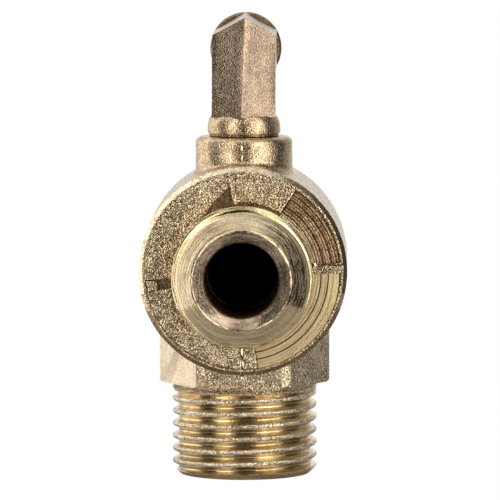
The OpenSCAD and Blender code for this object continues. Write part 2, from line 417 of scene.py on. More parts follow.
    def weather(self, depth: float, size: float, seed: float = 0.0) -> "Workpiece":
        """Makes the surface slightly uneven, as a forging's is.

        Args:
            depth: the most that a point moves, either way.
            size: size of the unevenness.
            seed: shifts the pattern.

        Returns:
            This workpiece.
        """
        normals = [v.normal.copy() for v in self.thing.data.vertices]
        shift = Vector((seed, seed * 0.7, seed * 0.3))
        for vertex, normal in zip(self.thing.data.vertices, normals):
            vertex.co += normal * depth * noise.noise(vertex.co / size + shift)
        self.thing.data.update()
        return self

    # -- joining and finishing --

    def join(self, *others: "Workpiece") -> "Workpiece":
        """Joins other workpieces into this one.

        Args:
            others: the pieces that are joined in.

        Returns:
            This workpiece.
        """
        self._pick()
        for other in others:
            other.thing.select_set(True)
        bpy.ops.object.join()
        return self

    def discard(self) -> None:
        """Removes the workpiece."""
        mesh = self.thing.data
        bpy.data.objects.remove(self.thing)
        bpy.data.meshes.remove(mesh)
        self.thing = None

    def paint(self, material: bpy.types.Material, where: Test | None = None) -> "Workpiece":
        """Gives faces a material.

        Args:
            material: the material.
            where: tests a face's centre in millimetres; every face if left out.

        Returns:
            This workpiece.
        """
        mesh = self.thing.data
        mesh.materials.append(material)
        index = len(mesh.materials) - 1
        for face in mesh.polygons:
            if where is None or where(face.center):
                face.material_index = index
        return self

    def finish(self, body: str, slot: str, smooth_deg: float = 38.0) -> bpy.types.Object:
        """Brings the piece to metres, shades it and lets it ride on its body.

        Args:
            body: the body that it moves with.
            slot: not used.
            smooth_deg: edges sharper than this stay sharp.

        Returns:
            The finished object.
        """
        self._pick()
        self.thing.scale = (MM, MM, MM)
        bpy.ops.object.transform_apply(location=True, rotation=True, scale=True)
        bpy.ops.object.shade_smooth_by_angle(angle=math.radians(smooth_deg))
        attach(self.thing, body)
        LOG.info("%s: %d faces on %s", self.name, len(self.thing.data.polygons), body)
        return self.thing


def arc(
    centre: tuple[float, float], radius: float, from_deg: float, to_deg: float, parts: int
) -> list[tuple[float, float]]:
    """Returns the points of an arc in an outline, both ends included."""
    turns = [math.radians(from_deg + (to_deg - from_deg) * i / parts) for i in range(parts + 1)]
    return [(centre[0] + radius * math.cos(t), centre[1] + radius * math.sin(t)) for t in turns]


@dataclass(frozen=True)
class ScrewThread:
    """A right-hand outside thread, made along +Z from its free end."""

    major_r: float
    depth: float
    pitch: float
    length: float
    chamfer: float
    runout: float
    chamfer_slope: float = 1.0
    steps: int = 96

    def outline(self) -> list[tuple[float, float]]:
        """Draws one pitch of the thread's profile, root to root.

        Returns:
            Pairs of radius and height.
        """
        root = self.major_r - self.depth
        rise = [
            (0.0, 0.0), (0.07, 0.04), (0.13, 0.14), (0.2, 0.36), (0.27, 0.64), (0.33, 0.86),
            (0.39, 0.97), (0.45, 1.0),
        ]
        fall = [(1.0 - part, share) for part, share in reversed(rise)]
        return [(root + self.depth * share, self.pitch * part) for part, share in rise + fall]

    def envelope(self, point: Vector) -> Vector:
        """Holds a thread point inside the end chamfer and fills the run-out in.

        Args:
            point: a point of the sleeve.

        Returns:
            Its new place.
        """
        radius = Spindle.STEM.radius(point)
        most = self.major_r - max(0.0, self.chamfer - point.z) * self.chamfer_slope
        fade = min(1.0, max(0.0, (point.z - self.length + self.runout) / self.runout))
        least = self.major_r - self.depth * (1 - fade * fade)
        return Spindle.STEM.shift(point, max(min(radius, most), min(least, most)))

    def build(self, name: str, wall: float = 0.35) -> Workpiece:
        """Builds the thread as a thin closed sleeve round the Z axis.

        Args:
            name: the sleeve's name.
            wall: its wall thickness.

        Returns:
            The sleeve.
        """
        sleeve = Workpiece(name)
        rows = [Spindle.STEM.place(r, h - self.pitch) for r, h in self.outline()]
        sleeve._trace(rows, closed=False)
        sleeve._apply(
            "SCREW", axis="Z", angle=TAU, screw_offset=self.pitch,
            iterations=math.ceil(self.length / self.pitch) + 2, steps=self.steps,
            render_steps=self.steps, use_merge_vertices=True, merge_threshold=WELD,
        )
        sleeve._edit()
        bpy.ops.mesh.remove_doubles(threshold=WELD)
        sleeve._face_out()
        sleeve.slice(Vector((0, 0, 0)), Vector((0, 0, -1)), fill=False)
        sleeve.slice(Vector((0, 0, self.length)), Vector((0, 0, 1)), fill=False)
        faces = sleeve.thing.data.polygons
        if sum(f.normal.x * f.center.x + f.normal.y * f.center.y for f in faces) < 0:
            sleeve._edit()
            bpy.ops.mesh.flip_normals()
            bpy.ops.object.mode_set(mode="OBJECT")
        sleeve.move_points(self.envelope)
        sleeve._apply("SOLIDIFY", thickness=wall, offset=-1.0)
        return sleeve.move_points(lambda p: Vector((p.x, p.y, max(0.0, p.z))))


# ---- Finishes ----


class Socket(Enum):
    """Kinds of group sockets."""

    NUMBER = "NodeSocketFloat"
    VECTOR = "NodeSocketVector"


class Centre(Enum):
    """Where a finish's turned lines are centred: place and turn of the pattern."""

    STEM = ((0.0, 0.0, 0.0), (0.0, 0.0, 0.0))
    OUTLET = ((0.0, OUTLET_Z, 0.0), (math.radians(90.0), 0.0, 0.0))


class Wiring:
    """Adds and links the nodes of one tree."""

    def __init__(self, tree: bpy.types.NodeTree) -> None:
        """Wraps the node tree that nodes are added to."""
        self.tree = tree

    def add(self, kind: str, inputs: dict | None = None, **settings: object) -> bpy.types.Node:
        """Adds a node.

        Args:
            kind: the node's type, without its ShaderNode prefix.
            inputs: values or sockets for its inputs, by name or number.
            settings: its properties by name.

        Returns:
            The node.
        """
        name = kind if kind.startswith("Node") else "ShaderNode" + kind
        node = self.tree.nodes.new(name)
        for key, value in settings.items():
            setattr(node, key, value)
        for key, value in (inputs or {}).items():
            if isinstance(value, bpy.types.NodeSocket):
                self.tree.links.new(value, node.inputs[key])
            else:
                node.inputs[key].default_value = value
        return node

    def sum_of(self, operation: str, *terms: object) -> bpy.types.NodeSocket:
        """Returns the result of a math operation on numbers or sockets."""
        return self.add("Math", dict(enumerate(terms)), operation=operation).outputs[0]

    def plus(self, one: object, other: object) -> bpy.types.NodeSocket:
        """Returns the sum of two numbers or sockets."""
        return self.sum_of("ADD", one, other)

    def times(self, one: object, other: object) -> bpy.types.NodeSocket:
        """Returns the product of two numbers or sockets."""
        return self.sum_of("MULTIPLY", one, other)

    def length(self, vector: object) -> bpy.types.NodeSocket:
        """Returns the length of a vector."""
        return self.add("VectorMath", {0: vector}, operation="LENGTH").outputs["Value"]

    def noise(
        self, place: object, scale: object, detail: float, roughness: float
    ) -> bpy.types.NodeSocket:
        """Returns a noise pattern's value at a place."""
        inputs = {"Vector": place, "Scale": scale, "Detail": detail, "Roughness": roughness}
        return self.add("TexNoise", inputs).outputs[0]

    def spread(
        self, value: object, low: float, high: float, to_low: float = 0.0, to_high: float = 1.0
    ) -> bpy.types.NodeSocket:
        """Returns a value whose range is mapped smoothly on to another range."""
        inputs = {0: value, 1: low, 2: high, 3: to_low, 4: to_high}
        return self.add("MapRange", inputs, interpolation_type="SMOOTHSTEP").outputs[0]

    def blend(self, share: object, one: object, other: object) -> bpy.types.NodeSocket:
        """Returns a mix of two colours, with the second's share given."""
        return self.add("Mix", {0: share, 6: one, 7: other}, data_type="RGBA").outputs[2]

    def place_mm(self, centre: Centre = Centre.STEM) -> bpy.types.NodeSocket:
        """Returns the place on the piece, in millimetres from a centre.

        Args:
            centre: where the pattern is centred, and how it is turned.

        Returns:
            The place's socket.
        """
        offset, turn = centre.value
        inputs = {"Location": offset, "Rotation": turn, "Scale": (1 / MM, 1 / MM, 1 / MM)}
        inputs["Vector"] = self.add("TexCoord").outputs["Object"]
        return self.add("Mapping", inputs).outputs[0]


def empty_tree(data: bpy.types.Material | bpy.types.World) -> Wiring:
    """Empties the node tree of a material or world.

    Args:
        data: the material or world.

    Returns:
        The wiring of its tree.
    """
    data.use_nodes = True
    data.node_tree.nodes.clear()
    return Wiring(data.node_tree)


def new_group(name: str, takes: dict[str, Socket], gives: Sequence[str]) -> tuple:
    """Starts a shader node group with named inputs and outputs.

    Args:
        name: the group's name.
        takes: its inputs.
        gives: its outputs, which are all numbers.

    Returns:
        The tree's wiring, and the outputs of its input node.
    """
    tree = bpy.data.node_groups.new(name, "ShaderNodeTree")
    for label, kind in takes.items():
        tree.interface.new_socket(label, in_out="INPUT", socket_type=kind.value)
    for label in gives:
        tree.interface.new_socket(label, in_out="OUTPUT", socket_type=Socket.NUMBER.value)
    wiring = Wiring(tree)
    return wiring, wiring.add("NodeGroupInput").outputs


class Effects:
    """The surface effects that the metals share, each built once as a node group."""

    def __init__(self) -> None:
        """Builds the groups."""
        self.grain = self._grain()
        self.lathe = self._lathe()
        self.scuffs = self._scuffs()

    @staticmethod
    def _grain() -> bpy.types.NodeTree:
        """Returns the blasted grain: fine pits and broader clouds.

        Returns:
            The group's tree, in millimetres.
        """
        takes = {"Vector": Socket.VECTOR, "Size": Socket.NUMBER}
        w, start = new_group("blasted_grain", takes, ["Speckle", "Cloud", "Height"])
        place, scale = start["Vector"], w.sum_of("DIVIDE", 1.0, start["Size"])
        fine = w.noise(place, scale, 2.0, 0.6)
        pits = w.add("TexVoronoi", {"Vector": place, "Scale": scale}).outputs["Distance"]
        results = {
            "Speckle": w.spread(fine, 0.4, 0.6),
            "Cloud": w.spread(w.noise(place, 0.45, 4.0, 0.65), 0.35, 0.65),
            "Height": w.plus(fine, w.times(pits, 0.5)),
        }
        w.add("NodeGroupOutput", results)
        return w.tree

    @staticmethod
    def _lathe() -> bpy.types.NodeTree:
        """Returns turned lines: rings on faces and bands on cylinders about local Z.

        Returns:
            The group's tree, in millimetres.
        """
        takes = {"Vector": Socket.VECTOR, "Lines": Socket.NUMBER}
        w, start = new_group("turned_lines", takes, ["Line", "Band"])
        parts = w.add("SeparateXYZ", {0: start["Vector"]}).outputs
        flat = w.add("CombineXYZ", {"X": parts["X"], "Y": parts["Y"]}).outputs[0]
        place = w.plus(w.length(flat), w.times(parts["Z"], 0.57))
        unit = w.add("VectorMath", {0: flat}, operation="NORMALIZE").outputs["Vector"]
        way = w.add("SeparateXYZ", {0: unit}).outputs

        def rings(rate: object, turns: float) -> bpy.types.NodeSocket:
            """Returns noise that is fine across the lines and long along them.

            Args:
                rate: lines in a millimetre.
                turns: how much the noise changes along a line.

            Returns:
                The noise's socket.
            """
            spot = {"X": w.times(way["X"], turns), "Y": w.times(way["Y"], turns)}
            spot["Z"] = w.times(place, rate)
            return w.noise(w.add("CombineXYZ", spot).outputs[0], 1.0, 3.0, 0.7)

        line = w.spread(rings(start["Lines"], 1.1), 0.4, 0.6)
        w.add("NodeGroupOutput", {"Line": line, "Band": w.spread(rings(1.1, 1.3), 0.4, 0.6)})
        return w.tree

    @staticmethod
    def _scuffs() -> bpy.types.NodeTree:
        """Returns scratches and rubbed patches.

        Returns:
            The group's tree, in millimetres.
        """
        w, start = new_group("scuffs", {"Vector": Socket.VECTOR}, ["Scratch", "Rubbed"])
        along = w.add("Mapping", {"Vector": start["Vector"], "Scale": (6.0, 1.4, 0.8)})
        thin = w.noise(along.outputs[0], 1.0, 5.0, 0.75)
        broad = w.noise(start["Vector"], 0.9, 3.0, 0.6)
        results = {"Scratch": w.spread(thin, 0.58, 0.7), "Rubbed": w.spread(broad, 0.5, 0.72)}
        w.add("NodeGroupOutput", results)
        return w.tree


@dataclass(frozen=True)
class Metal:
    """A metal finish: its colours, how rough it is and what marks it has."""

    name: str
    deep: Colour
    light: Colour
    rubbed: Colour
    rough_low: float
    rough_high: float
    grain_size: float = 0.28
    grain_bump: float = 0.5
    grain_height: float = 0.03
    lines: float = 0.0
    line_bump: float = 0.0
    centre: Centre = Centre.STEM
    rub: float = 0.4
    metallic: float = 1.0
    inner: Colour | None = None
    inner_r: float = 0.0

    def material(self, effects: Effects) -> bpy.types.Material:
        """Builds the finish's material.

        Args:
            effects: the shared node groups.

        Returns:
            The material.
        """
        made = bpy.data.materials.new(self.name)
        w = empty_tree(made)
        place = w.place_mm(self.centre)
        size = {"Vector": place, "Size": self.grain_size}
        grain = w.add("Group", size, node_tree=effects.grain).outputs
        scuffs = w.add("Group", {"Vector": place}, node_tree=effects.scuffs).outputs
        shade = w.plus(w.times(grain["Speckle"], 0.78), w.times(grain["Cloud"], 0.22))
        height = w.times(grain["Height"], self.grain_bump)
        rough = w.spread(shade, 0.0, 1.0, self.rough_high, self.rough_low)
        if self.lines:
            rate = {"Vector": place, "Lines": self.lines}
            lathe = w.add("Group", rate, node_tree=effects.lathe).outputs
            marks = w.plus(w.times(lathe["Line"], 0.4), w.times(lathe["Band"], 0.25))
            shade = w.plus(w.times(shade, 0.35), marks)
            height = w.plus(height, w.times(lathe["Line"], self.line_bump))
        body = w.blend(shade, (*self.deep, 1.0), (*self.light, 1.0))
        rubbed, scratch = (w.times(scuffs[mark], self.rub) for mark in ("Rubbed", "Scratch"))
        colour = w.blend(w.sum_of("MAXIMUM", rubbed, scratch), body, (*self.rubbed, 1.0))
        # Within inner_r of the centre the colour turns near-black and rough: painted shade inside
        # the ball's port.
        if self.inner:
            outside = w.spread(w.length(place), self.inner_r - 0.1, self.inner_r)
            colour = w.blend(outside, (*self.inner, 1.0), colour)
            rough = w.add("Mix", {0: outside, 2: 0.6, 3: rough}).outputs[0]
        relief = {"Height": height, "Strength": 1.0, "Distance": self.grain_height * MM}
        looks = {"Base Color": colour, "Roughness": rough, "Metallic": self.metallic}
        looks["Normal"] = w.add("Bump", relief).outputs[0]
        w.add("OutputMaterial", {"Surface": w.add("BsdfPrincipled", looks).outputs[0]})
        return made


@dataclass(frozen=True)
class Moulding:
    """A plastic or rubber finish."""

    name: str
    deep: Colour
    light: Colour
    roughness: float
    # Near-black colour that the part takes within a radius of the outlet axis: painted shade.
    axis_shade: Colour = (0.03, 0.014, 0.008)
    axis_shade_r: float = 0.0

    def material(self, effects: Effects) -> bpy.types.Material:
        """Builds the finish's material.

        Args:
            effects: the shared node groups.

        Returns:
            The material.
        """
        made = bpy.data.materials.new(self.name)
        w = empty_tree(made)
        place = w.place_mm()
        grain = w.add("Group", {"Vector": place, "Size": 0.2}, node_tree=effects.grain).outputs
        colour = w.blend(grain["Cloud"], (*self.deep, 1.0), (*self.light, 1.0))
        # Within that radius of the outlet axis the colour goes near-black: painted shade down the
        # bore.
        if self.axis_shade_r:
            parts = w.add("SeparateXYZ", {0: place}).outputs
            rise = w.sum_of("SUBTRACT", parts["Z"], OUTLET_Z)
            ring = w.add("CombineXYZ", {"X": parts["X"], "Y": rise}).outputs[0]
            unshaded = w.spread(w.length(ring), self.axis_shade_r, self.axis_shade_r + 0.2)
            colour = w.blend(unshaded, (*self.axis_shade, 1.0), colour)
        rough = w.spread(grain["Speckle"], 0.0, 1.0, self.roughness, self.roughness + 0.12)
        relief = {"Height": grain["Height"], "Strength": 0.4, "Distance": 0.01 * MM}
        looks = {"Base Color": colour, "Roughness": rough}
        looks["Normal"] = w.add("Bump", relief).outputs[0]
        w.add("OutputMaterial", {"Surface": w.add("BsdfPrincipled", looks).outputs[0]})
        return made


class Finish(Enum):
    """Every finish on the valve."""

    FORGED = Metal(
        "forged_brass", deep=(0.14, 0.09, 0.05), light=(1.0, 0.8, 0.52), rubbed=(0.95, 0.8, 0.56),
        rough_low=0.14, rough_high=0.28, grain_size=0.25, grain_height=0.2, rub=0.2,
    )
    NECK = Metal(
        "neck_brass", deep=(0.3, 0.2, 0.11), light=(0.76, 0.58, 0.37), rubbed=(0.96, 0.82, 0.6),
        rough_low=0.16, rough_high=0.28, grain_size=0.22, grain_height=0.11, rub=0.35,
    )
    FACED = Metal(
        "faced_brass", deep=(0.72, 0.54, 0.27), light=(1.0, 0.85, 0.52), rubbed=(1.0, 0.88, 0.6),
        rough_low=0.42, rough_high=0.5, grain_bump=0.12, grain_height=0.05, lines=7.0,
        line_bump=0.8, centre=Centre.OUTLET, rub=0.2, metallic=0.6,
    )
    # A darker copy of the faced brass, for the upper right face: painted shade.
    FACED_DARK = Metal(
        "faced_brass_painted_shade", deep=(0.16, 0.1, 0.05), light=(1.0, 0.84, 0.54),
        rubbed=(0.97, 0.8, 0.5), rough_low=0.48, rough_high=0.14, grain_bump=0.2,
        grain_height=0.06, lines=5.0, line_bump=0.8, centre=Centre.OUTLET, rub=0.15,
    )
    # Lighter brass for the upper rim and the flash ridges: painted highlight.
    RIM = Metal(
        "rim_highlight_brass", deep=(0.5, 0.36, 0.2), light=(1.0, 0.88, 0.64), rubbed=(1.0, 0.95, 0.8),
        rough_low=0.14, rough_high=0.26, grain_size=0.3, grain_height=0.06, rub=0.5,
    )
    # Dark brass for the face's recesses, groove floors and step walls, the lower rim, the
    # shoulder's front face and the ring in the gap under the lever: painted shade.
    GRIME = Metal(
        "painted_shade_brass", deep=(0.09, 0.055, 0.03), light=(0.46, 0.32, 0.18),
        rubbed=(0.5, 0.36, 0.2), rough_low=0.28, rough_high=0.42, grain_size=0.22,
        grain_height=0.1, rub=0.2,
    )
    # Paler, evener brass for the hexagon's left flats: painted light on that side.
    FLAT = Metal(
        "lit_flat_brass", deep=(0.5, 0.38, 0.25), light=(0.8, 0.66, 0.46), rubbed=(0.98, 0.86, 0.66),
        rough_low=0.3, rough_high=0.42, grain_size=0.22, grain_bump=0.3, grain_height=0.05,
        rub=0.2,
    )
    NOZZLE = Metal(
        "nozzle_brass", deep=(0.4, 0.28, 0.15), light=(0.86, 0.71, 0.48),
        rubbed=(0.98, 0.86, 0.62), rough_low=0.12, rough_high=0.22, grain_bump=0.08,
        grain_height=0.014, lines=3.0, line_bump=0.8, centre=Centre.OUTLET, rub=0.12,
    )
    # A darker copy of the nozzle's turned brass, for the countersink: painted shade.
    SINK = Metal(
        "sink_brass_painted_shade", deep=(0.16, 0.1, 0.06), light=(0.74, 0.58, 0.41), rubbed=(1.0, 0.9, 0.74),
        rough_low=0.34, rough_high=0.2, grain_size=0.3, grain_bump=0.15, lines=2.4, line_bump=0.6,
        centre=Centre.OUTLET, rub=0.25, metallic=0.9,
    )
    NOZZLE_THREAD = Metal(
        "nozzle_thread_brass", deep=(0.3, 0.2, 0.08), light=(1.0, 0.84, 0.5),
        rubbed=(1.0, 0.93, 0.76), rough_low=0.08, rough_high=0.18, grain_bump=0.2,
        grain_height=0.02, lines=3.0, line_bump=0.4, centre=Centre.OUTLET, rub=0.3,
    )
    # Near-black brown for the insides of the bores: painted shade.
    BORE = Metal(
        "bore_shade_brass", deep=(0.1, 0.04, 0.018), light=(0.24, 0.1, 0.045), rubbed=(0.3, 0.15, 0.07),
        rough_low=0.35, rough_high=0.5, grain_bump=0.2, lines=4.0, line_bump=0.6,
        centre=Centre.OUTLET, rub=0.1,
    )
    THREAD = Metal(
        "thread_brass", deep=(0.32, 0.22, 0.1), light=(1.0, 0.82, 0.52), rubbed=(1.0, 0.88, 0.62),
        rough_low=0.1, rough_high=0.2, grain_size=0.22, grain_bump=0.25, grain_height=0.06,
        lines=5.0, line_bump=0.25, rub=0.3,
    )
    CREST = Metal(
        "crest_brass", deep=(0.3, 0.21, 0.12), light=(1.0, 0.88, 0.66), rubbed=(1.0, 0.95, 0.82),
        rough_low=0.1, rough_high=0.2, grain_size=0.24, grain_bump=1.0, grain_height=0.1, rub=0.45,
        metallic=0.85,
    )
    LEVER = Metal(
        "lever_brass", deep=(0.22, 0.15, 0.1), light=(0.54, 0.4, 0.28), rubbed=(0.74, 0.6, 0.45),
        rough_low=0.14, rough_high=0.25, grain_size=0.17, grain_height=0.07, rub=0.25,
    )
    PLUG = Metal(
        "plug_brass", deep=(0.54, 0.38, 0.18), light=(0.9, 0.69, 0.38), rubbed=(0.97, 0.82, 0.54),
        rough_low=0.14, rough_high=0.26, grain_bump=0.12, lines=5.0, line_bump=0.6,
        centre=Centre.OUTLET, rub=0.25,
    )
    STEM = Metal(
        "stem_brass", deep=(0.6, 0.42, 0.19), light=(0.92, 0.71, 0.38), rubbed=(0.98, 0.83, 0.54),
        rough_low=0.14, rough_high=0.26, grain_bump=0.05, lines=8.0, line_bump=0.6, rub=0.2,
    )
    # The ball's port wall, inside the ball, is painted near-black: painted shade.
    CHROME = Metal(
        "ball_chrome", deep=(0.62, 0.62, 0.64), light=(0.84, 0.84, 0.86), rubbed=(0.9, 0.9, 0.9),
        rough_low=0.06, rough_high=0.14, grain_bump=0.02, grain_height=0.004, rub=0.2,
        centre=Centre.OUTLET, inner=(0.05, 0.018, 0.008), inner_r=8.95,
    )
    STEEL = Metal(
        "dark_steel", deep=(0.04, 0.04, 0.045), light=(0.13, 0.13, 0.14), rubbed=(0.4, 0.38, 0.36),
        rough_low=0.3, rough_high=0.45, grain_bump=0.3, rub=0.25,
    )
    SEAL = Moulding("white_seal", (0.78, 0.77, 0.73), (0.9, 0.89, 0.86), 0.35)
    # A copy of the white seal that goes near-black near the outlet axis, where it shows down the
    # bore: painted shade.
    WET_SEAL = Moulding("seal_painted_shade", (0.78, 0.77, 0.73), (0.9, 0.89, 0.86), 0.35, axis_shade_r=6.0)
    RUBBER = Moulding("black_rubber", (0.012, 0.012, 0.014), (0.03, 0.03, 0.032), 0.5)


class Paints:
    """Builds each finish's material the first time it is wanted."""

    def __init__(self) -> None:
        """Starts with no material built."""
        self.effects = Effects()
        self.built: dict[Finish, bpy.types.Material] = {}

    def __call__(self, finish: Finish) -> bpy.types.Material:
        """Returns a finish's material.

        Args:
            finish: the finish.

        Returns:
            Its material.
        """
        if finish not in self.built:
            self.built[finish] = finish.value.material(self.effects)
        return self.built[finish]


# ---- The valve's sub-assemblies ----


@dataclass
class Hollows:
    """The room inside the forging, as tools that cut it out."""

    chamber_r: float = 9.4
    bore_r: float = 5.3
    seat_back: float = 9.1
    inlet_r: float = 6.0
    stem_r: float = 3.55
    flange_r: float = 5.1
    thread_r: float = 11.0
    step_y: float = 8.0

    def chamber(self) -> Workpiece:
        """Builds what cuts the ball's chamber and the plug's bore.

        Returns:
            The tool.
        """
        outline = [
            (0.0, -30.0), (self.bore_r, -30.0), (self.bore_r, -self.seat_back),
            (self.chamber_r, -self.seat_back), (self.chamber_r, self.step_y),
            (self.thread_r, self.step_y), (self.thread_r, 20.0), (0.0, 20.0),
        ]
        return Workpiece("chamber_tool").turn(Spindle.OUTLET, outline, closed=False)

    def inlet(self) -> Workpiece:
        """Returns the tool for the waterway that comes up from the inlet."""
        outline = [(0.0, -2.0), (self.inlet_r, -2.0), (self.inlet_r, 27.0), (0.0, 27.0)]
        return Workpiece("inlet_tool").turn(Spindle.STEM, outline, closed=False)

    def stem(self) -> Workpiece:
        """Builds what cuts the stem's hole and its flange's pocket.

        Returns:
            The tool.
        """
        outline = [
            (0.0, 33.0), (self.flange_r, 33.0), (self.flange_r, 41.8), (self.stem_r, 41.8),
            (self.stem_r, 55.0), (0.0, 55.0),
        ]
        return Workpiece("stem_tool").turn(Spindle.STEM, outline, closed=False)


@dataclass
class FaceSector:
    """One raised stretch of the barrel's front face, between two radii."""

    name: str
    start_deg: float
    end_deg: float
    inner_r: float
    outer_r: float
    front_y: float
    groove_pitch: float = 0.0
    groove_depth: float = 0.0
    spindle: Spindle = Spindle.OUTLET
    rounding: float = 0.09
    tilt: float = 0.0
    land_slope: float = 0.0
    pinch: float = 0.0
    pinch_deg: float = 0.0
    room_r: float = 13.99
    back_y: float = -12.1
    finish: Finish = Finish.FORGED

    def outline(self) -> list[tuple[float, float]]:
        """Returns the sector's section, grooves included.

        Returns:
            Pairs of radius and depth.
        """
        front = []
        if self.groove_pitch:
            count = int((self.outer_r - self.inner_r - 0.2) / self.groove_pitch)
            for i in range(count):
                r = self.inner_r + 0.15 + self.groove_pitch * i
                land = self.groove_pitch * 0.62
                y = self.front_y + self.tilt * (r - self.inner_r)
                rise = self.land_slope * land / 2 * (1.0 if i % 3 else -0.4)
                deep = self.groove_depth * (1.0 if i % 5 in (0, 3) else 0.4)
                front += [
                    (r, y + rise), (r + land, y - rise + 0.01 * (i % 3)),
                    (r + (land + self.groove_pitch) / 2, y + deep),
                ]
        else:
            steps = 12
            width = self.outer_r - self.inner_r
            front = [(self.inner_r + width * i / steps, self.front_y) for i in range(steps)]
        front.append((self.outer_r, self.front_y + self.tilt * (self.outer_r - self.inner_r)))
        return [(self.inner_r, self.back_y), *front, (self.outer_r, self.back_y)]

    def build(self) -> Workpiece:
        """Builds the sector.

        Returns:
            The sector.
        """
        sweep = self.end_deg - self.start_deg
        part = Workpiece(self.name).turn(
            self.spindle, self.outline(), start_deg=self.start_deg, sweep_deg=sweep,
            steps=max(8, round(sweep / 2)),
        )
        part.move_points(self.fit)
        part.bevel(self.rounding, over_deg=55.0)
        return part if self.groove_pitch else part.weather(0.07, 0.9, self.start_deg)

    def fit(self, point: Vector) -> Vector:
        """Pinches a point towards the rim near the start, and keeps it inside the rim.

        Args:
            point: a point of the sector.

        Returns:
            Its new place.
        """
        away = point - self.spindle.centre
        turn = math.degrees(math.atan2(away.z, away.x))
        if self.pinch and turn > 0:
            near = max(0.0, (self.start_deg + self.pinch_deg - turn) / self.pinch_deg)
            gap = self.outer_r - self.spindle.radius(point)
            kept = self.outer_r - gap * (1 - self.pinch * near**1.5)
            point = self.spindle.shift(point, kept)
        if Spindle.BARREL.radius(point) > self.room_r:
            point = Spindle.BARREL.shift(point, self.room_r)
        return point


